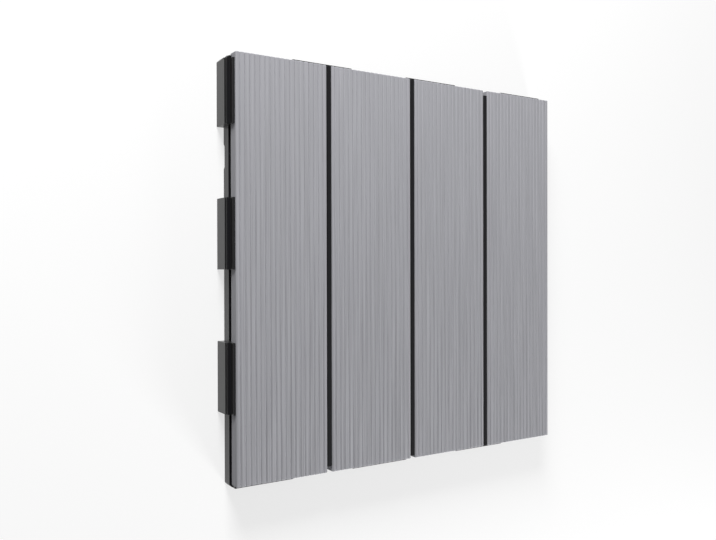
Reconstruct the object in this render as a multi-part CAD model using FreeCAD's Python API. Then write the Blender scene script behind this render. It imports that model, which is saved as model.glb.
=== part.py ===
import FreeCAD, Part
import math
import os

# Interlocking deck tile, in millimetres.
# The tile lies flat with its slats up (+Z). X runs across the slats and Y along them.
# The origin is on the ground, under the middle of the tile.
# A side feature is described once, on the side that faces +X, with r the distance outwards
# from the middle and s the distance along the side. Quarter turns repeat it on all four sides.

# Tile pitch and the gaps between joined tiles
module = 300.0          # distance at which joined tiles repeat
side_gap = 4.8          # gap between the outer slats of two joined tiles
end_gap = 1.6           # gap between the slat ends of two joined tiles
side_count = 4          # sides of the square tile

# Slats
slat_count = 4
slat_gap = 4.0          # gap between neighbouring slats
slat_thickness = 9.0
slat_edge_leg = 8.0     # foot along each long edge of a slat
slat_centre_leg = 9.8   # foot along the middle of a slat, which takes the screws
channel_depth = 4.0     # depth of the two channels under a slat
channel_draft = 0.6     # slope of each channel wall over its depth
slat_edge_round = 0.9   # radius along the upper long edges
groove_count = 18       # fine grooves along the face of each slat
groove_pitch = 3.8
groove_width = 1.3
groove_depth = 0.5

# Base grid
base_height = 14.0      # seat of the slats above the ground
rib_lift = 1.0          # underside of the ribs above the ground
rib = 2.0               # thickness of the ribs
cells_per_slat = 3      # grid cells across one slat and its gap
cells_along = 8         # grid cells along the module
rim_wall = 2.2
rim_height = 9.0
beam_width = 12.0       # closed strip under each gap between slats
beam_skin = 2.0

# Connector loops
loops_per_side = 3
loop_reach = 2.4        # how far a loop stands out past the module line
loop_depth = 11.0       # depth of a loop, outer wall to inner wall
loop_height = 13.7
loop_wall = 3.0         # outer wall and end walls of a loop
loop_inner_wall = 2.2
loop_rib = 2.5          # rib that halves the window in a loop
corner_lead = 2.0       # chamfer on the upright edge at each corner of the tile
fit_clearance = 0.2     # loop face to the neighbour's rim
end_clearance = 0.15    # loop end to the end of its half pitch

# Ledge and upstand over the loops beside the outer slats
ledge_height = 16.5
step_height = 14.6      # foot of the ledge, where it steps back from the loop's face
step_width = 0.7
upstand_wall = 1.2
upstand_clearance = 0.2
upstand_drop = 0.5      # top of the upstand below the slat face

# Hollow ribs of the base that fill the gaps between slats
gap_rib_clearance = 0.4  # from the rib to the slat on each side
gap_rib_wall = 1.0

# Drain notch at the ground, one under the first rim of each side
notch_width = 17.5
notch_height = 1.5
notch_shift = 4.6       # from the middle of the rim towards the corner

# Screws and their bosses
screw_rows = (-3, 3)    # ribs along a slat that carry a screw, counted from the middle one
screw_shank = 4.0
screw_head = 8.0
screw_head_height = 2.6
screw_bite = 6.5        # length of thread inside the slat
seat_skin = 5.0         # plate between the screw head and the slat
boss_wall = 1.5         # least wall of the square boss around the screw head
head_clearance = 0.5    # gap around the screw head in its square recess
shank_clearance = 0.25  # gap around the shank in the base, on the radius
pilot_clearance = 0.1   # gap around the thread in the slat, on the radius
pilot_extra = 0.5       # depth of the pilot hole past the screw's tip

# Feet
foot_rows = (-2, 2)     # ribs along the slats that carry a foot, counted from the middle one
foot_width = 8.0

# Values worked out from those above
half_module = module / 2
slat_width = (module - side_gap - (slat_count - 1) * slat_gap) / slat_count
slat_pitch = slat_width + slat_gap
slat_length = module - end_gap
field_half = half_module - side_gap / 2
cell = slat_pitch / cells_per_slat
row_pitch = module / cells_along
half_pitch = module / (2 * loops_per_side)
loop_face = half_module + loop_reach
loop_inside = loop_face - loop_depth
rim_face = half_module - loop_reach - fit_clearance
rim_inside = rim_face - rim_wall
top_height = base_height + slat_thickness
beam_bottom = base_height - beam_skin
gap_rib_top = top_height - upstand_drop
seat_height = base_height - seat_skin
recess_width = screw_head + 2 * head_clearance
boss_width = recess_width + 2 * boss_wall
cut_margin = 1.0        # how far a cutting tool runs past the face that it opens

Z_AXIS = FreeCAD.Vector(0, 0, 1)
ORIGIN = FreeCAD.Vector(0, 0, 0)


def box(low, high):
    """A block between two opposite corners."""
    size = [b - a for a, b in zip(low, high)]
    return Part.makeBox(size[0], size[1], size[2], FreeCAD.Vector(*low))


def tube(radius, x, y, low, high):
    """An upright cylinder."""
    return Part.makeCylinder(radius, high - low, FreeCAD.Vector(x, y, low))


def rounded_wire(corners):
    """A closed outline from (point, radius) corners, each corner a tangent arc or left sharp."""
    edges = []
    ends = []
    count = len(corners)
    for i in range(count):
        point, radius = corners[i]
        back = (corners[i - 1][0] - point).normalize()
        ahead = (corners[(i + 1) % count][0] - point).normalize()
        if radius <= 0:
            ends.append((point, None, point))
            continue
        half_angle = back.getAngle(ahead) / 2
        run = radius / math.tan(half_angle)
        middle = (back + ahead).normalize() * (radius / math.sin(half_angle) - radius)
        ends.append((point + back * run, point + middle, point + ahead * run))
    for i in range(count):
        start, middle, end = ends[i]
        if middle is not None:
            edges.append(Part.Arc(start, middle, end).toShape())
        following = ends[(i + 1) % count][0]
        if (following - end).Length > 1e-6:
            edges.append(Part.LineSegment(end, following).toShape())
    return Part.Wire(edges)


def prism(corners, direction):
    """A solid swept straight along direction from a rounded outline."""
    return Part.Face(rounded_wire(corners)).extrude(direction)


def quarter_turns(shape):
    """Copies of a +X side feature on all four sides of the tile."""
    copies = []
    for k in range(side_count):
        copy = shape.copy()
        copy.rotate(ORIGIN, Z_AXIS, 360.0 * k / side_count)
        copies.append(copy)
    return copies


def on_all_sides(shapes):
    """Every shape of a +X side, repeated on the four sides."""
    return [turned for shape in shapes for turned in quarter_turns(shape)]


# Slats

def groove_corners():
    """Corners of the grooved face, from right to left, each groove a shallow V."""
    corners = []
    first = (groove_count - 1) / 2 * groove_pitch
    for k in range(groove_count):
        x = first - k * groove_pitch
        for dx, drop in ((groove_width / 2, 0), (0, groove_depth), (-groove_width / 2, 0)):
            corners.append((FreeCAD.Vector(x + dx, 0, slat_thickness - drop), 0))
    return corners


def slat_section():
    """Corners of the slat's section: feet, two channels below and the grooved face above."""
    half = slat_width / 2
    foot = half - slat_edge_leg
    spine = slat_centre_leg / 2
    underside = [(-half, 0, 0), (-foot, 0, 0), (-foot + channel_draft, channel_depth, 0),
                 (-spine - channel_draft, channel_depth, 0), (-spine, 0, 0), (spine, 0, 0),
                 (spine + channel_draft, channel_depth, 0), (foot - channel_draft, channel_depth, 0),
                 (foot, 0, 0), (half, 0, 0), (half, slat_thickness, slat_edge_round)]
    corners = [(FreeCAD.Vector(x, 0, z), radius) for x, z, radius in underside]
    corners += groove_corners()
    corners.append((FreeCAD.Vector(-half, 0, slat_thickness), slat_edge_round))
    return corners


def slat_centres():
    """X position of each slat's centre line."""
    return [(k - (slat_count - 1) / 2) * slat_pitch for k in range(slat_count)]


def screw_places():
    """Where the screws stand: on the slats' centre legs, over crossing ribs."""
    return [(x, row * row_pitch) for x in slat_centres() for row in screw_rows]


def make_slat(x):
    """One extruded slat on its seat, drilled from below for its screws."""
    slat = prism(slat_section(), FreeCAD.Vector(0, slat_length, 0))
    slat.translate(FreeCAD.Vector(x, -slat_length / 2, base_height))
    depth = screw_bite + pilot_extra
    radius = screw_shank / 2 + pilot_clearance
    holes = [tube(radius, x, row * row_pitch, base_height - cut_margin, base_height + depth)
             for row in screw_rows]
    return slat.cut(Part.makeCompound(holes))


# Base grid

def loop_spans():
    """The (low, high) stretch of each loop along a side. The corner loop stops at the rim line."""
    spans = []
    for k in range(loops_per_side):
        low = 2 * k * half_pitch - half_module
        spans.append((max(low + end_clearance, -rim_face), low + half_pitch - end_clearance))
    return spans


def recess_spans():
    """The (low, high) stretch of each recess along a side. The corner recess stops at the rim."""
    spans = []
    for k in range(loops_per_side):
        low = (2 * k + 1) * half_pitch - half_module
        spans.append((low - end_clearance, min(low + half_pitch + end_clearance, rim_face)))
    return spans


def beam_centres():
    """X position of each gap between slats, where a closed beam runs."""
    return [(k - (slat_count - 2) / 2) * slat_pitch for k in range(slat_count - 1)]


def column_spans():
    """The open stretches across the grid, between the walls that run along the slats."""
    lines = []
    for x in beam_centres():
        for side in (-1, 1):
            lines.append(x + side * (beam_width - rib) / 2)
    for x in slat_centres():
        for k in range(cells_per_slat - 1):
            lines.append(x + (k - (cells_per_slat - 2) / 2) * cell)
    return spans_between(lines)


def row_spans():
    """The open stretches along the grid, between the ribs that run across the slats."""
    return spans_between([(k - cells_along / 2) * row_pitch for k in range(1, cells_along)])


def spans_between(lines):
    """Stretches between ribs on the given lines. The outermost run on, to be cut at the rim."""
    spans = []
    walls = sorted(lines)
    edges = [-half_module] + [e for w in walls for e in (w - rib / 2, w + rib / 2)] + [half_module]
    for k in range(0, len(edges), 2):
        spans.append((edges[k], edges[k + 1]))
    return spans


def edge_limit(across, direction):
    """How far an edge cell runs out: to a loop that it meets, or else to the rim of a recess."""
    low, high = sorted(direction * s for s in across)
    for start, stop in loop_spans():
        if low < stop and high > start:
            return loop_inside
    return rim_inside


def clip_span(span, across, direction):
    """One cell stretch cut back to the wall that it meets, given the stretch across it."""
    low, high = span
    if low <= -half_module:
        low = -edge_limit(across, -direction)
    if high >= half_module:
        high = edge_limit(across, direction)
    return low, high


def grid_plate():
    """The lattice of ribs, one plate with a rectangular hole for every cell."""
    outline = Part.makePlane(2 * rim_face, 2 * rim_face,
                             FreeCAD.Vector(-rim_face, -rim_face, rib_lift)).OuterWire
    holes = []
    for column in column_spans():
        for row in row_spans():
            x0, x1 = clip_span(column, row, 1)
            y0, y1 = clip_span(row, column, -1)
            plane = Part.makePlane(x1 - x0, y1 - y0, FreeCAD.Vector(x0, y0, rib_lift))
            holes.append(plane.OuterWire)
    face = Part.makeFace([outline] + holes, "Part::FaceMakerBullseye")
    return face.extrude(FreeCAD.Vector(0, 0, base_height - rib_lift))


def loop_plate(start, stop, span, bottom, top):
    """A plate from start out to stop, chamfered where it ends at a corner of the tile."""
    low, high = span
    corners = [(start, low), (stop, low), (stop, high), (start, high)]
    if low <= -rim_face:
        corners[1:2] = [(stop - corner_lead, low), (stop, low + corner_lead)]
    outline = [(FreeCAD.Vector(r, s, bottom), 0) for r, s in corners]
    return prism(outline, FreeCAD.Vector(0, 0, top - bottom))


def loop_windows(low, high):
    """The two openings that make a block into a loop, one each side of its middle rib."""
    inner = loop_inside + loop_inner_wall
    outer = loop_face - loop_wall
    middle = (low + high) / 2
    first = max(low + loop_wall, loop_inner_wall - rim_inside)
    windows = []
    for start, stop in ((first, middle - loop_rib / 2), (middle + loop_rib / 2, high - loop_wall)):
        windows.append(box((inner, start, -cut_margin), (outer, stop, base_height + cut_margin)))
    return windows


def recess_rim(low, high):
    """The low rim wall across one recess, running on into the loops at its ends."""
    overlap = end_clearance + loop_wall / 2
    return box((rim_inside, low - overlap, 0), (rim_face, min(high + overlap, rim_face), rim_height))


def recess_relief(low, high):
    """The space over a recess rim, under the edge of the slats. At the corner it runs right out."""
    stop = high if high < rim_face else loop_face + cut_margin
    return box((rim_inside, low, rim_height), (rim_face + cut_margin, stop, base_height + cut_margin))


def drain_notch(low, high):
    """A low notch at the ground through one recess rim, with sloping ends."""
    middle = (low + high) / 2 - notch_shift
    half = notch_width / 2
    start = rim_inside - cut_margin
    profile = [(middle - half, -cut_margin), (middle + half, -cut_margin), (middle + half, 0),
               (middle + half - notch_height, notch_height),
               (middle - half + notch_height, notch_height), (middle - half, 0)]
    outline = [(FreeCAD.Vector(start, s, z), 0) for s, z in profile]
    return prism(outline, FreeCAD.Vector(rim_face + cut_margin - start, 0, 0))


def post(width, x, y):
    """A square post from the ground to the slat, such as a foot or the boss around a screw."""
    half = width / 2
    return box((x - half, y - half, 0), (x + half, y + half, base_height))


def boss_bores(x, y):
    """The square head recess below and the clearance hole above in a boss."""
    half = recess_width / 2
    head = box((x - half, y - half, -cut_margin), (x + half, y + half, seat_height))
    shank = tube(screw_shank / 2 + shank_clearance, x, y, 0, base_height + cut_margin)
    return [head, shank]


def foot_places():
    """Where the feet stand: on the rib crossing on the outer side of each slat's middle."""
    places = []
    for x in slat_centres():
        outward = math.copysign(cell / 2, x)
        places += [(x + outward, row * row_pitch) for row in foot_rows]
    return places


def ledge(span):
    """The stepped ledge on a loop beside an outer slat, with the thin upstand on top of it."""
    start = field_half + upstand_clearance
    foot = loop_plate(start, loop_face, span, loop_height, step_height)
    plate = loop_plate(start, loop_face - step_width, span, step_height, ledge_height)
    upstand = box((start, max(span[0], -rim_inside), ledge_height),
                  (start + upstand_wall, span[1], top_height - upstand_drop))
    return [foot, plate, upstand]


def gap_rib(x, wall, low, high):
    """A bar along the gap between two slats, or with a wall given the hollow inside it."""
    half = slat_gap / 2 - gap_rib_clearance - wall
    end = rim_inside - wall
    return box((x - half, -end, low), (x + half, end, high))


def make_base():
    """The whole moulded base."""
    loops = [loop_plate(loop_inside, loop_face, span, 0, loop_height) for span in loop_spans()]
    rims = [recess_rim(low, high) for low, high in recess_spans()]
    added = on_all_sides(loops + rims)
    for x in beam_centres():
        added.append(box((x - beam_width / 2, -rim_inside, beam_bottom),
                         (x + beam_width / 2, rim_inside, base_height)))
        added.append(gap_rib(x, 0, beam_bottom, gap_rib_top))
    added += [post(boss_width, x, y) for x, y in screw_places()]
    added += [post(foot_width, x, y) for x, y in foot_places()]
    body = grid_plate().multiFuse(added)

    windows = [w for low, high in loop_spans() for w in loop_windows(low, high)]
    reliefs = [recess_relief(low, high) for low, high in recess_spans()]
    removed = on_all_sides(windows + reliefs + [drain_notch(*recess_spans()[0])])
    for x in beam_centres():
        removed.append(gap_rib(x, gap_rib_wall, beam_bottom - cut_margin, gap_rib_top - gap_rib_wall))
    for x, y in screw_places():
        removed += boss_bores(x, y)
    body = body.cut(Part.makeCompound(removed))

    trim = []
    for span in loop_spans():
        for part in ledge(span):
            opposite = part.copy()
            opposite.rotate(ORIGIN, Z_AXIS, 180)
            trim += [part, opposite]
    return body.multiFuse(trim).removeSplitter()


# Screws

def make_screw(x, y):
    """One flat-headed screw, its head up against the boss seat and its thread in the slat."""
    head = tube(screw_head / 2, x, y, seat_height - screw_head_height, seat_height)
    shank = tube(screw_shank / 2, x, y, seat_height, base_height + screw_bite)
    return head.fuse(shank)


# Export

def save(shape, name):
    """Write one node and print its solids and volume."""
    shape.exportStep("parts/" + name + ".step")
    print(name, "solids", len(shape.Solids), "volume", round(shape.Volume), "valid", shape.isValid())


os.makedirs("parts", exist_ok=True)
save(make_base(), "base")
for number, centre in enumerate(slat_centres(), start=1):
    save(make_slat(centre), "slat_" + str(number))
save(Part.makeCompound([make_screw(x, y) for x, y in screw_places()]), "screws")
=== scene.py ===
# %% [markdown]
# # An interlocking deck tile
# The tile is a garden floor piece: four grooved grey composite slats screwed to a black moulded
# base. The CAD model already has every piece at its real size. This file keeps those sizes and
# gives each piece its finish, then sets up the floor, the light and the camera. It starts by
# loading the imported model, which stays fixed.

# %% Load the frame
import math
import bmesh
import bpy
import numpy as np
from mathutils import Matrix, Vector


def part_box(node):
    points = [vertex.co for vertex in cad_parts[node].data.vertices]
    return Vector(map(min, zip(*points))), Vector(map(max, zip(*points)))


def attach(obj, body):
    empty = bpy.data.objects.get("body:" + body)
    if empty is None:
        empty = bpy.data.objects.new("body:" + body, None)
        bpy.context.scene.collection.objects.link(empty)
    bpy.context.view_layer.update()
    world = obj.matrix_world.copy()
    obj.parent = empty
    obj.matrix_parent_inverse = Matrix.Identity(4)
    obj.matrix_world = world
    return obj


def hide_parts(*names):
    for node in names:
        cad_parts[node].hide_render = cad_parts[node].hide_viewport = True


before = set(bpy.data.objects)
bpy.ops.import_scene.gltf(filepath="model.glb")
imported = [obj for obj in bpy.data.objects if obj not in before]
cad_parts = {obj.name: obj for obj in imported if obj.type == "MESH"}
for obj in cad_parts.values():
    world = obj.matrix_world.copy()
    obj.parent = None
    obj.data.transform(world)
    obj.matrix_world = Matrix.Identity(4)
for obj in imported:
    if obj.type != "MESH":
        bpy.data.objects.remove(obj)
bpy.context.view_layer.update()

MM = 0.001              # one millimetre in Blender's metres
CM = 10 * MM
WELD = 0.001 * MM       # corners closer than this are one corner
SLATS = sorted(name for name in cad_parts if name.startswith("slat_"))

# %% [markdown]
# ## Meshes from whole arrays
# Every new surface here is a grid: a profile carried along a path. One helper turns such a grid of
# points into a closed mesh. Rows run along the path and columns run round the profile, so each
# quad joins a point to its two neighbours. The two ends are closed by one face each.

# %% A swept grid made into a mesh
def tube_faces(ring_count, point_count):
    """Faces of a closed tube. Quad (i, j) joins points j and j + 1 of rings i and i + 1, and the
    first and last rings are closed by one face each. They point outwards where the rings run
    anticlockwise for an eye that looks along the path."""
    index = np.arange(ring_count * point_count).reshape(ring_count, point_count)
    here = index[:-1]
    ahead = index[1:]
    quads = np.stack([here, ahead, np.roll(ahead, -1, 1), np.roll(here, -1, 1)], -1).reshape(-1, 4)
    return quads.tolist() + [index[0].tolist(), index[-1, ::-1].tolist()]


def new_object(name, data):
    """A new object at the origin of the scene, which holds a mesh, a lamp or a camera."""
    thing = bpy.data.objects.new(name, data)
    bpy.context.scene.collection.objects.link(thing)
    return thing


def add_piece(name, points, faces):
    """A new piece, with its place in its mesh."""
    mesh = bpy.data.meshes.new(name)
    mesh.from_pydata(points, [], faces)
    mesh.update()
    return new_object(name, mesh)


def volume(piece):
    """Volume in cubic centimetres, which is positive where the faces point outwards."""
    grid = bmesh.new()
    grid.from_mesh(piece.data)
    amount = grid.calc_volume(signed=True)
    grid.free()
    return amount / CM ** 3


print("a tube of 3 rings of 4 points has", len(tube_faces(3, 4)), "faces")

# %% [markdown]
# ## The slats
# A slat is extruded, so it has one section all along: two feet and a centre leg below, soft upper
# edges, and a face with fine grooves. A modifier could round the CAD slat's edges, but the grooves
# are so fine that the rounding has to be part of their form. The section is therefore worked out
# again as a curve, where each groove is a smooth dip, and carried from one sawn end to the other.

# %% The grooved face of a slat
GROOVES = 18
GROOVE_PITCH = 3.8 * MM
GROOVE_WIDTH = 1.5 * MM
GROOVE_DEPTH = 0.6 * MM
GROOVE_POINTS = 9


def grooved_line(top):
    """The grooves of the face as (x, z), from +X to -X. The height is top less a raised cosine in
    each groove: depth * (1 + cos(2 pi d / width)) / 2, with d the distance from its middle."""
    steps = np.linspace(-0.5, 0.5, GROOVE_POINTS) * GROOVE_WIDTH
    middles = (np.arange(GROOVES) - (GROOVES - 1) / 2) * GROOVE_PITCH
    x = (middles[:, None] + steps[None, :]).ravel()[::-1]
    dip = GROOVE_DEPTH * (1 + np.cos(2 * np.pi * steps / GROOVE_WIDTH)) / 2
    z = top - np.tile(dip, GROOVES)
    return np.stack([x, z], 1)


print("the grooves span", round(np.ptp(grooved_line(0)[:, 0]) / MM, 1), "mm")

# %% The section of a slat
ROUND_POINTS = 7        # on a quarter circle
EDGE_ROUND = 1.3 * MM   # of the upper long edges
FOOT = 8.0 * MM         # width of the foot along each long edge
SPINE = 4.9 * MM        # half the width of the foot along the middle
CHANNEL = 4.0 * MM      # depth of the channels between the feet
CHANNEL_DRAFT = 0.6 * MM


def quarter_round(x, y, radius, start):
    """Points of a quarter circle: (x, y) + radius * (cos a, sin a), a from start over 90
    degrees."""
    a = math.radians(start) + np.linspace(0, np.pi / 2, ROUND_POINTS)
    return np.array([x, y]) + radius * np.stack([np.cos(a), np.sin(a)], 1)


def slat_section(half, thickness):
    """The closed outline of a slat's section as (x, z), anticlockwise. x goes from its middle and
    z from its seat."""
    inner = half - FOOT
    right = np.array([[SPINE, 0], [SPINE + CHANNEL_DRAFT, CHANNEL],
                      [inner - CHANNEL_DRAFT, CHANNEL], [inner, 0], [half, 0]])
    left = right[::-1] * [-1, 1]
    across = half - EDGE_ROUND
    up = thickness - EDGE_ROUND
    arc_right = quarter_round(across, up, EDGE_ROUND, 0)
    arc_left = quarter_round(-across, up, EDGE_ROUND, 90)
    return np.concatenate([right, arc_right, grooved_line(thickness), arc_left, left])


# %% The slats from one sawn end to the other
SAW_CHAMFER = 0.35 * MM


def inset(outline, distance):
    """The outline moved inwards: each point goes against its normal, which is the direction from
    the point before to the point after, turned clockwise."""
    along = np.roll(outline, -1, 0) - np.roll(outline, 1, 0)
    normal = np.stack([along[:, 1], -along[:, 0]], 1)
    normal /= np.linalg.norm(normal, axis=1, keepdims=True)
    return outline - distance * normal


def make_slat(node):
    """A slat in the place of its CAD node, with its sawn ends lightly chamfered."""
    low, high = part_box(node)
    middle = (low.x + high.x) / 2
    section = slat_section((high.x - low.x) / 2, high.z - low.z)
    small = inset(section, SAW_CHAMFER)
    stations = [(low.y, small), (low.y + SAW_CHAMFER, section),
                (high.y - SAW_CHAMFER, section), (high.y, small)]
    rings = np.array([[(middle + x, y, low.z + z) for x, z in outline] for y, outline in stations])
    return add_piece(node + "_board", rings.reshape(-1, 3), tube_faces(*rings.shape[:2]))


boards = {name: make_slat(name) for name in SLATS}
print("points on each slat", [len(board.data.vertices) for board in boards.values()])
print("slat volumes in cm3", [round(volume(board), 1) for board in boards.values()])

# %% [markdown]
# ## The moulded base
# The base is one moulding: a lattice with loops round its edge, which clip to the next tile. It
# could be built again from boxes, but its CAD form is right already, and a copy keeps every wall
# in its place. Only the edges are too sharp: a moulding has a small radius everywhere, and that
# radius is what catches the light. The copy has its loose triangles merged and its flat faces
# joined, and three small forms are changed. Some of the ribs that stand in the gaps run on over
# the loops. All of them rise to just below the slats' faces. The lips beside the outer slats slope
# off at the top, so that a slat slides in between them. Then a Bevel modifier rounds every edge
# that turns sharply.

# %% The tops of the lips and of the gap ribs
LIP_INSIDE = 147.8 * MM     # where the lips start, beside the outer slats
LIP_MARGIN = 0.1 * MM       # so that their inner corners count too
LIP_HEIGHT = 21.9 * MM
LIP_SLOPE = 1.0
RIB_TOP = 22.8 * MM
RIBS_WITHIN = 100 * MM      # the gap ribs lie within this of the tile's middle line


def shaped_tops(points):
    """The base's corners with their tops changed. A lip's falls off outwards, as height less slope
    times the distance from its inside. A gap rib's comes close under the slats' faces."""
    x, y, z = points.T
    tall = z > LIP_HEIGHT
    sloped = LIP_HEIGHT - LIP_SLOPE * (abs(x) - LIP_INSIDE)
    z = np.where(tall & (abs(x) > LIP_INSIDE - LIP_MARGIN), sloped, z)
    z = np.where(tall & (abs(x) < RIBS_WITHIN), RIB_TOP, z)
    return np.stack([x, y, z], 1)


def shape_tops(mesh):
    """Move the corners of a mesh to their shaped tops."""
    points = np.empty(3 * len(mesh.vertices))
    mesh.vertices.foreach_get("co", points)
    shaped = shaped_tops(points.reshape(-1, 3)).ravel()
    mesh.vertices.foreach_set("co", shaped)
    mesh.update()
    print("corners with a new height", np.count_nonzero(shaped != points))


# %% The ends of the gap ribs
SEAT = 14.0 * MM            # height of the slats' undersides
RIB_END = 145.2 * MM        # distance of the ends from the tile's middle
RIB_REACH = 3.8 * MM        # what is added at an end
RIB_REACH_SHORT = 2.1 * MM  # and at the middle rib's end at -Y
MIDDLE_RIB = 20 * MM        # the middle rib lies within this of the middle line
END_MARGIN = 0.01 * MM      # a face this close to an end is on it
END_FACING = 0.99           # least share of its normal that points along Y


def rib_ends(grid):
    """The end faces of the gap ribs that stand over a loop. Those are the middle rib's two, and
    on each side the one to the left of it, seen from the middle of the tile."""
    found = []
    for face in grid.faces:
        middle = face.calc_center_bounds()
        side = math.copysign(1, middle.y)
        top = max(corner.co.z for corner in face.verts)
        on_end = abs(abs(middle.y) - RIB_END) < END_MARGIN and face.normal.y * side > END_FACING
        on_rib = abs(middle.x) < RIBS_WITHIN and top > LIP_HEIGHT
        if on_end and on_rib and middle.x * side < MIDDLE_RIB:
            found.append(face)
    return found


def lengthen_ribs(grid):
    """Carry those ribs on over the loops. Where an end face also goes down below the seat, it is
    first cut there, so that only the rib grows."""
    for face in rib_ends(grid):
        parts = [face] + list(face.edges) + list(face.verts)
        bmesh.ops.bisect_plane(grid, geom=parts, dist=WELD, plane_co=(0, 0, SEAT),
                               plane_no=(0, 0, 1))
    ends = [face for face in rib_ends(grid) if face.calc_center_bounds().z > SEAT]
    print("rib ends carried on", len(ends))
    for face in bmesh.ops.extrude_discrete_faces(grid, faces=ends)["faces"]:
        middle = face.calc_center_bounds()
        side = math.copysign(1, middle.y)
        short = side < 0 and abs(middle.x) < MIDDLE_RIB
        reach = RIB_REACH_SHORT if short else RIB_REACH
        bmesh.ops.translate(grid, verts=face.verts, vec=(0, side * reach, 0))


# %% The base with moulded edges
MOULD_ROUND = 0.25 * MM
ROUND_STEPS = 2
FLAT_ANGLE = math.radians(1)    # faces that turn less than this are joined
SHARP_ANGLE = math.radians(35)  # edges that turn more than this are rounded


def moulded_copy(node, name):
    """A copy of a CAD node, merged, with its flat faces joined, its ribs and lips changed and its
    edges rounded."""
    grid = bmesh.new()
    grid.from_mesh(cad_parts[node].data)
    bmesh.ops.remove_doubles(grid, verts=grid.verts, dist=WELD)
    bmesh.ops.dissolve_limit(grid, angle_limit=FLAT_ANGLE, verts=grid.verts, edges=grid.edges)
    lengthen_ribs(grid)
    print(name, "open edges", sum(not edge.is_manifold for edge in grid.edges))
    mesh = bpy.data.meshes.new(name)
    grid.to_mesh(mesh)
    grid.free()
    shape_tops(mesh)
    piece = new_object(name, mesh)
    bevel = piece.modifiers.new("mould_round", "BEVEL")
    bevel.width = MOULD_ROUND
    bevel.segments = ROUND_STEPS
    bevel.limit_method = "ANGLE"
    bevel.angle_limit = SHARP_ANGLE
    bevel.use_clamp_overlap = False
    return piece


grid_base = moulded_copy("base", "moulded_base")

# %% [markdown]
# ## The screws
# Eight steel screws hold the slats down from below, two for each slat. Their heads sit in square
# recesses and have a cross for the driver, and their threads bite into the slats. A Boolean could
# cut the cross, and a Screw modifier could wind the thread. Here both are part of one surface: a
# grid of height and angle, where the cross pushes the head's face in and the thread swells the
# radius along a helix. That stays one clean closed shell.

# %% The outline of a screw
HEAD_RADIUS = 4.0 * MM
HEAD_HEIGHT = 2.6 * MM
HEAD_ROUND = 0.9 * MM
HEAD_RINGS = 24
POLE_RADIUS = 0.02 * MM     # of the face that closes the middle of the head
CORE_RADIUS = 1.45 * MM
SHANK_RINGS = 72
TIP_LENGTH = 2.5 * MM
TIP_SHARE = 0.02            # share of the core that is left at the point


def screw_rows(length):
    """Radius and height of each ring, from the middle of the head's face round to the tip. The
    core tapers by (length - z) / tip length at its end."""
    flat = HEAD_RADIUS - HEAD_ROUND
    face = np.stack([np.linspace(POLE_RADIUS, flat, HEAD_RINGS), np.zeros(HEAD_RINGS)], 1)
    rim = quarter_round(flat, HEAD_ROUND, HEAD_ROUND, -90)[1:]
    shoulder = np.array([[HEAD_RADIUS, HEAD_HEIGHT], [CORE_RADIUS, HEAD_HEIGHT]])
    z = np.linspace(HEAD_HEIGHT, length, SHANK_RINGS)[1:]
    taper = np.clip((length - z) / TIP_LENGTH, TIP_SHARE, 1)
    shank = np.stack([CORE_RADIUS * taper, z], 1)
    return np.concatenate([face, rim, shoulder, shank])


# %% The driver's cross in its head
CROSS_WIDTH = 1.1 * MM
CROSS_REACH = 2.4 * MM
CROSS_DEPTH = 1.7 * MM
CROSS_WALL = 0.22 * MM  # distance over which a side wall goes down
CROSS_RAMP = 1.3 * MM   # and over which the end of an arm does


def cross_depth(x, y):
    """Depth of the driver's cross: full inside its arms, with steep walls beside them and a ramp
    towards their ends. The arms are where the lesser of |x| and |y| is under half the width."""
    across = np.minimum(abs(x), abs(y))
    along = np.maximum(abs(x), abs(y))
    walls = np.clip((CROSS_WIDTH / 2 - across) / CROSS_WALL, 0, 1)
    return CROSS_DEPTH * walls * np.clip((CROSS_REACH - along) / CROSS_RAMP, 0, 1)


print("the cross is", round(cross_depth(0, 0) / MM, 2), "mm deep")

# %% The thread and the whole screw
SCREW_SIDES = 64
CREST_RADIUS = 2.0 * MM
THREAD_PITCH = 1.8 * MM
THREAD_SHARE = 0.45     # part of the pitch that the ridge takes


def thread_ridge(z, angle, length):
    """Height of the thread over the core: a triangle across a share of each pitch, wound by one
    pitch a turn, which fades in under the head and out at the tip."""
    phase = (z / THREAD_PITCH - angle / (2 * np.pi)) % 1.0
    ridge = np.clip(1 - abs(phase - 0.5) / (THREAD_SHARE / 2), 0, 1)
    fade_in = np.clip((z - HEAD_HEIGHT) / THREAD_PITCH, 0, 1)
    fade_out = np.clip((length - z) / TIP_LENGTH, 0, 1)
    return (CREST_RADIUS - CORE_RADIUS) * ridge * fade_in * fade_out


def screw_points(length):
    """The grid of a screw that stands on its head's face at the origin: each ring's radius plus
    the thread, turned about Z, with the cross pushed into the face."""
    rows = screw_rows(length)
    angle = -np.linspace(0, 2 * np.pi, SCREW_SIDES, endpoint=False)[None, :]
    z = rows[:, 1:] + 0 * angle
    radius = rows[:, :1] + thread_ridge(z, angle, length) * (z > HEAD_HEIGHT)
    x = radius * np.cos(angle)
    y = radius * np.sin(angle)
    on_face = z < HEAD_ROUND / 2
    return np.stack([x, y, z + cross_depth(x, y) * on_face], -1)


# %% All the screws
def make_screws():
    """All the screws as one piece, each in the place of its CAD solid."""
    low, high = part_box("screws")
    one = screw_points(high.z - low.z)
    shell = tube_faces(*one.shape[:2])
    one = one.reshape(-1, 3)
    points = []
    faces = []
    for name in SLATS:
        slat_low, slat_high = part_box(name)
        x = (slat_low.x + slat_high.x) / 2
        for y in (low.y + HEAD_RADIUS, high.y - HEAD_RADIUS):
            faces += [[corner + len(points) * len(one) for corner in face] for face in shell]
            points.append(one + [x, y, low.z])
    return add_piece("screw_set", np.concatenate(points), faces)


screw_set = make_screws()
print("screws' volume in cm3", round(volume(screw_set), 2),
      "faces", len(screw_set.data.polygons))

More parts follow.
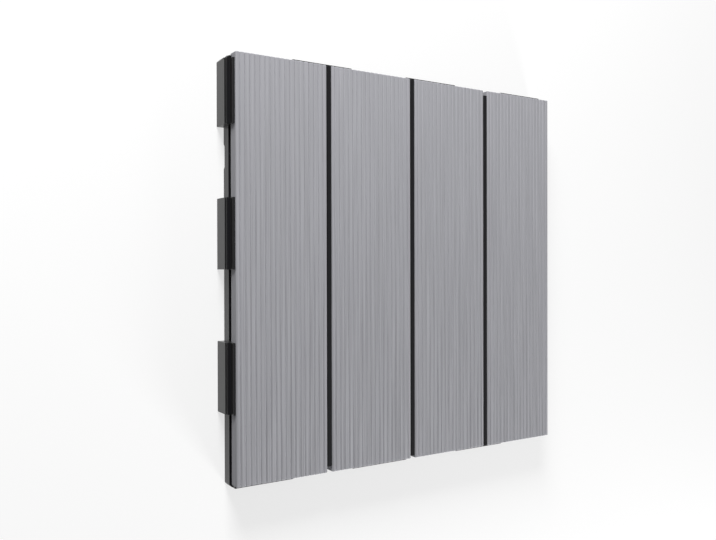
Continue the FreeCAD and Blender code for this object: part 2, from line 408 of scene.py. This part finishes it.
# %% [markdown]
# ## Finishes
# A finish is a Principled shader with patterns on it. The patterns could be pictures wrapped round
# each piece, but noise needs no unwrapping and has no seams. A small node group gives the fine
# speckle that all the finishes have, so that it is built once.

# %% Nodes and their inputs
def fill(tree, node, inputs):
    """Link each named input to another node's output, or give it a value of its own."""
    for name, value in inputs.items():
        if isinstance(value, bpy.types.NodeSocket):
            tree.links.new(value, node.inputs[name])
        else:
            node.inputs[name].default_value = value


def add_node(tree, kind, inputs, output, **settings):
    """One output of a new node, once its settings are made and its inputs are filled."""
    node = tree.nodes.new(kind)
    for name, value in settings.items():
        setattr(node, name, value)
    fill(tree, node, inputs)
    return node.outputs[output]


def start_material(name):
    """A new material and its tree, shader and Object coordinates."""
    material = bpy.data.materials.new(name)
    material.use_nodes = True
    tree = material.node_tree
    place = add_node(tree, "ShaderNodeTexCoord", {}, "Object")
    return material, tree, tree.nodes["Principled BSDF"], place


# %% Numbers, colours and heights in a tree
def maths(tree, operation, *values):
    """The result of a Math node."""
    return add_node(tree, "ShaderNodeMath", dict(enumerate(values)), "Value", operation=operation)


def scaled(tree, value, factor, start):
    """value * factor + start."""
    return maths(tree, "MULTIPLY_ADD", value, factor, start)


def levels(tree, value, start, end, low, high):
    """value taken from the range start to end over to the range low to high, and held there."""
    inputs = {"Value": value, "From Min": start, "From Max": end, "To Min": low, "To Max": high}
    return add_node(tree, "ShaderNodeMapRange", inputs, "Result")


def axis_value(tree, vector, axis):
    """One coordinate of a vector."""
    return add_node(tree, "ShaderNodeSeparateXYZ", {"Vector": vector}, axis)


def mix_colour(tree, factor, first, second):
    """first * (1 - factor) + second * factor, where each is a colour or another node's colour."""
    inputs = {"Factor": factor, "A": first, "B": second}
    return add_node(tree, "ShaderNodeMix", inputs, "Result", data_type="RGBA")


def bump(tree, height, strength, distance):
    """Normals that lean as if the height stood out from the surface."""
    inputs = {"Height": height, "Strength": strength, "Distance": distance}
    return add_node(tree, "ShaderNodeBump", inputs, "Normal")


# %% A speckle that the finishes share
SPECKLE_DETAIL = 3.0
SPECKLE_RANGE = (0.3, 0.7)      # the part of the noise's values that the mask spreads out


def speckle_group():
    """A node group that gives fine noise as a mask from 0 to 1."""
    group = bpy.data.node_groups.new("fine_speckle", "ShaderNodeTree")
    group.interface.new_socket("Vector", in_out="INPUT", socket_type="NodeSocketVector")
    group.interface.new_socket("Scale", in_out="INPUT", socket_type="NodeSocketFloat")
    group.interface.new_socket("Mask", in_out="OUTPUT", socket_type="NodeSocketFloat")
    inward = group.nodes.new("NodeGroupInput").outputs
    inputs = {"Vector": inward["Vector"], "Scale": inward["Scale"], "Detail": SPECKLE_DETAIL}
    noise = add_node(group, "ShaderNodeTexNoise", inputs, "Fac")
    mask = levels(group, noise, *SPECKLE_RANGE, 0, 1)
    fill(group, group.nodes.new("NodeGroupOutput"), {"Mask": mask})
    return group


SPECKLE = speckle_group()
print("shared group", SPECKLE.name)


def speckle(tree, place, scale):
    """The shared speckle, placed in a tree."""
    inputs = {"Vector": place, "Scale": scale}
    return add_node(tree, "ShaderNodeGroup", inputs, "Mask", node_tree=SPECKLE)

# %% [markdown]
# ### The composite
# The slats are extruded from wood flour and plastic and then brushed. That leaves fine streaks
# along them, on faint bands a few millimetres wide. The streaks could be painted once for a slat,
# but then all four would be alike. Here they are noise that is stretched along Y. It lies in the
# tile's own coordinates, so each slat gets a part of its own. The streaks stand out most towards
# the ends at -Y. That rise is painted shade: it stands in for the grooves' deeper shading in
# grazing light at that end.

# %% The composite of the slats
STREAK_DARK = (0.258, 0.258, 0.277, 1)
STREAK_LIGHT = (0.437, 0.437, 0.468, 1)
STREAK_SCALE = 1400                 # cells of the noise in a metre, before it is stretched
STREAK_STRETCH = (1.0, 0.008, 1.0)
BAND_DARK = (0.325, 0.325, 0.349, 1)
BAND_LIGHT = (0.365, 0.365, 0.392, 1)
BAND_SCALE = 260
BAND_STRETCH = (1.0, 0.03, 1.0)
# painted shade: the streaks' share grows towards -Y, in place of the grooves' shading in grazing
# light
PAINTED_SHADE_REACH = 0.12                  # the streaks' share changes up to this far from the middle
STREAK_SHARE_PAINTED_SHADE = (0.78, 0.28)           # their share at -Y and at +Y
BRUSHED_ROUGHNESS = (0.56, 0.70)    # where the streaks are dark and where they are light
STREAK_BUMP = 0.25
STREAK_HEIGHT = 0.1 * MM


def stretched(tree, place, scale):
    """Coordinates scaled by a different factor along each axis."""
    return add_node(tree, "ShaderNodeMapping", {"Vector": place, "Scale": scale}, "Vector")


def composite_material():
    """Brushed grey composite: bands * (1 - share) + streaks * share, where the share goes down
    from -Y to +Y. That fall is painted shade of the grooves, which grazing light gives at -Y."""
    material, tree, shader, place = start_material("composite")
    streak = speckle(tree, stretched(tree, place, STREAK_STRETCH), STREAK_SCALE)
    band = speckle(tree, stretched(tree, place, BAND_STRETCH), BAND_SCALE)
    streaks = mix_colour(tree, streak, STREAK_DARK, STREAK_LIGHT)
    bands = mix_colour(tree, band, BAND_DARK, BAND_LIGHT)
    y = axis_value(tree, place, "Y")
    share = levels(tree, y, -PAINTED_SHADE_REACH, PAINTED_SHADE_REACH, *STREAK_SHARE_PAINTED_SHADE)
    fill(tree, shader, {
        "Base Color": mix_colour(tree, share, bands, streaks),
        "Roughness": levels(tree, streak, 0, 1, *BRUSHED_ROUGHNESS),
        "Normal": bump(tree, streak, STREAK_BUMP, STREAK_HEIGHT)})
    return material


COMPOSITE = composite_material()
print("composite of", len(COMPOSITE.node_tree.nodes), "nodes")

# %% [markdown]
# ### The black moulding
# The base is black polypropylene. Its flat tops have the mould's matt grain and shine little. Its
# upright walls were drawn along the mould and came out smoother. Two materials could tell these
# apart, but then every face would have to be sorted. One material can read from the surface's
# direction how upright it stands, and make it glossier with that. It also gives the upright walls
# a lighter black, which is a painted sheen in place of the light that they reflect.

# %% The black moulding of the base
SKIN_FLAT = (0.006, 0.006, 0.0072, 1)
# painted sheen: the upright walls get a lighter black, in place of the light that they reflect
SKIN_UPRIGHT_PAINTED_SHEEN = (0.012, 0.0115, 0.012, 1)
SKIN_SPECULAR = 0.13
ROUGH_FLAT = 0.46
ROUGH_UPRIGHT = 0.34
COAT_UPRIGHT = 0.42         # the coat stands for the smooth skin of the upright walls
COAT_ROUGHNESS = 0.34
GRAIN_SCALE = 900
GRAIN_BUMP = 0.15
GRAIN_HEIGHT = 0.05 * MM


def moulding_material():
    """Black polypropylene, glossier the more upright it stands: upright = 1 - |z| of its
    direction. The upright walls are also a lighter black, as a painted sheen."""
    material, tree, shader, place = start_material("black_moulding")
    direction = add_node(tree, "ShaderNodeTexCoord", {}, "Normal")
    turned = maths(tree, "ABSOLUTE", axis_value(tree, direction, "Z"))
    upright = levels(tree, turned, 0, 1, 1, 0)
    grain = speckle(tree, place, GRAIN_SCALE)
    fill(tree, shader, {
        "Base Color": mix_colour(tree, upright, SKIN_FLAT, SKIN_UPRIGHT_PAINTED_SHEEN),
        "Specular IOR Level": SKIN_SPECULAR,
        "Roughness": scaled(tree, upright, ROUGH_UPRIGHT - ROUGH_FLAT, ROUGH_FLAT),
        "Coat Weight": scaled(tree, upright, COAT_UPRIGHT, 0.0),
        "Coat Roughness": COAT_ROUGHNESS,
        "Normal": bump(tree, grain, GRAIN_BUMP, GRAIN_HEIGHT)})
    return material


MOULDING = moulding_material()
print("black moulding of", len(MOULDING.node_tree.nodes), "nodes")

# %% [markdown]
# ### The zinc
# The screws are zinc plated steel, which is a dull metal with a faint mottle. One even grey would
# do from afar. The shared speckle between two greys costs little more and holds up from near.

# %% The zinc of the screws
ZINC_DARK = (0.50, 0.51, 0.53, 1)
ZINC_LIGHT = (0.62, 0.62, 0.62, 1)
ZINC_SCALE = 1500
ZINC_ROUGHNESS = 0.35


def zinc_material():
    """Zinc plated steel."""
    material, tree, shader, place = start_material("zinc")
    fill(tree, shader, {
        "Base Color": mix_colour(tree, speckle(tree, place, ZINC_SCALE), ZINC_DARK, ZINC_LIGHT),
        "Metallic": 1.0,
        "Roughness": ZINC_ROUGHNESS})
    return material


ZINC = zinc_material()
print("zinc of", len(ZINC.node_tree.nodes), "nodes")

# %% [markdown]
# ### Dressing the pieces
# Each piece is made of one thing, so it gets one material. Its CAD node is hidden, and it hangs on
# the body that it rides on. The tile has no joint, so there is one body for all of them.

# %% Dress the pieces and hang them on the frame
def dress(piece, material):
    """Give a piece its one material."""
    piece.data.materials.clear()
    piece.data.materials.append(material)


for name, board in boards.items():
    dress(board, COMPOSITE)
    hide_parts(name)
    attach(board, "root")
dress(grid_base, MOULDING)
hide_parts("base")
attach(grid_base, "root")
dress(screw_set, ZINC)
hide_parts("screws")
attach(screw_set, "root")
for piece in [*boards.values(), grid_base, screw_set]:
    print(piece.name, "is", piece.data.materials[0].name)

# %% [markdown]
# ## Floor, light and camera
# The tile lies on a plain white floor in soft light. The key lamp stands beyond the top of the
# picture, on its left. A weaker, low one stands beyond the bottom, on its right. So the grooves
# are shaded on one flank at one end of the slats and on the other flank at the other end.
#
# A real white floor would throw much light up at the sides of the tile. This one looks white to
# the camera and in reflections, and is a plain grey for the light that it scatters. The same
# switch makes the surroundings white where they are seen. A Light Path node tells the two kinds
# of ray apart.

# %% The switch between seen light and scattered light
def seen(tree):
    """1 for a ray from the camera or through a reflection or glass, 0 for scattered light: the
    largest of the three kinds of ray."""
    rays = tree.nodes.new("ShaderNodeLightPath").outputs
    total = rays["Is Camera Ray"]
    for name in ("Is Glossy Ray", "Is Transmission Ray"):
        total = maths(tree, "MAXIMUM", total, rays[name])
    return total


# %% Floor
WHITE = (1, 1, 1, 1)
BLACK = (0, 0, 0, 1)
FLOOR_HALF = 8.0                        # half its width, in metres
FLOOR_SHADED = (0.34, 0.34, 0.34, 1)    # the part of the seen floor that takes shadows
FLOOR_GLOW = 0.67                       # the part that is white whatever falls on it
FLOOR_SCATTER = (0.17, 0.17, 0.17, 1)   # the floor as the object's sides are lit by it
FLOOR_ROUGHNESS = 0.9
SHADED_NEAR = 0.45                      # the seen floor takes shadows up to this distance
SHADED_FAR = 1.10                       # and is plain white beyond this one


def make_floor():
    """A plain white floor under the feet, which keeps the tile's soft shadow. The part of its
    colour that takes shadows fades out with the distance from the tile, so that it meets the
    white surroundings without a horizon."""
    corners = np.array([(-1, -1, 0), (1, -1, 0), (1, 1, 0), (-1, 1, 0)]) * FLOOR_HALF
    floor = add_piece("floor", corners, [(0, 1, 2, 3)])
    material, tree, shader, place = start_material("floor_white")
    distance = add_node(tree, "ShaderNodeVectorMath", {0: place}, "Value", operation="LENGTH")
    shaded = levels(tree, distance, SHADED_NEAR, SHADED_FAR, 1, 0)
    seen_colour = mix_colour(tree, shaded, BLACK, FLOOR_SHADED)
    glow = levels(tree, distance, SHADED_NEAR, SHADED_FAR, FLOOR_GLOW, 1)
    switch = seen(tree)
    fill(tree, shader, {
        "Base Color": mix_colour(tree, switch, FLOOR_SCATTER, seen_colour),
        "Roughness": FLOOR_ROUGHNESS,
        "Specular IOR Level": 0.0,
        "Emission Color": WHITE,
        "Emission Strength": maths(tree, "MULTIPLY", switch, glow)})
    floor.data.materials.append(material)
    return floor


print("floor in m", tuple(make_floor().dimensions))

# %% Light
SKY_SEEN = 1.0
SKY_LIGHT = 0.15
TILE_MIDDLE = Vector((0, 0, 0))
LAMPS = {   # place and width in metres, power in watts
    "key": ((-0.38, 1.11, 0.54), 0.5, 23.9),
    "low": ((0.42, -0.96, 0.175), 0.3, 12.9),
}


def make_sky():
    """White surroundings, which light the tile much less than they look."""
    world = bpy.data.worlds.new("soft_studio")
    world.use_nodes = True
    tree = world.node_tree
    strength = scaled(tree, seen(tree), SKY_SEEN - SKY_LIGHT, SKY_LIGHT)
    fill(tree, tree.nodes["Background"], {"Color": WHITE, "Strength": strength})
    bpy.context.scene.world = world


def area_light(name, place, width, power):
    """A soft square lamp that faces the tile's middle."""
    data = bpy.data.lights.new(name, "AREA")
    data.size = width
    data.energy = power
    lamp = new_object(name, data)
    lamp.location = place
    lamp.rotation_euler = (TILE_MIDDLE - Vector(place)).to_track_quat("-Z", "Y").to_euler()


make_sky()
for name, lamp in LAMPS.items():
    area_light(name, *lamp)
print("lamps", list(LAMPS))

# %% Camera
IMAGE_WIDTH = 716
IMAGE_HEIGHT = 540
FOCAL_PIXELS = 767.0                    # focal length in pixels of the photograph
OPTICAL_CENTRE = (385.4, 269.8)         # where the optical axis meets the photograph
SENSOR_WIDTH = 36.0                     # only scales the lens, in mm
EYE = Vector((-349.19, 3.10, 516.01)) * MM
RIGHT = Vector((0.836323, -0.002003, 0.548233))
UP = Vector((0.005156, 0.999978, -0.004213))


def make_camera():
    """The photograph's camera: its place, its axes and its lens."""
    data = bpy.data.cameras.new("camera")
    data.sensor_width = SENSOR_WIDTH
    data.lens = SENSOR_WIDTH * FOCAL_PIXELS / IMAGE_WIDTH
    data.shift_x = (IMAGE_WIDTH / 2 - OPTICAL_CENTRE[0]) / IMAGE_WIDTH
    data.shift_y = (OPTICAL_CENTRE[1] - IMAGE_HEIGHT / 2) / IMAGE_WIDTH
    camera = new_object("camera", data)
    back = RIGHT.cross(UP).normalized()
    side = UP.cross(back).normalized()
    turn = Matrix((side, back.cross(side), back)).transposed()
    camera.matrix_world = Matrix.Translation(EYE) @ turn.to_4x4()
    bpy.context.scene.camera = camera
    return camera


print("lens in mm", round(make_camera().data.lens, 2))
bpy.context.scene.view_settings.view_transform = "Standard"
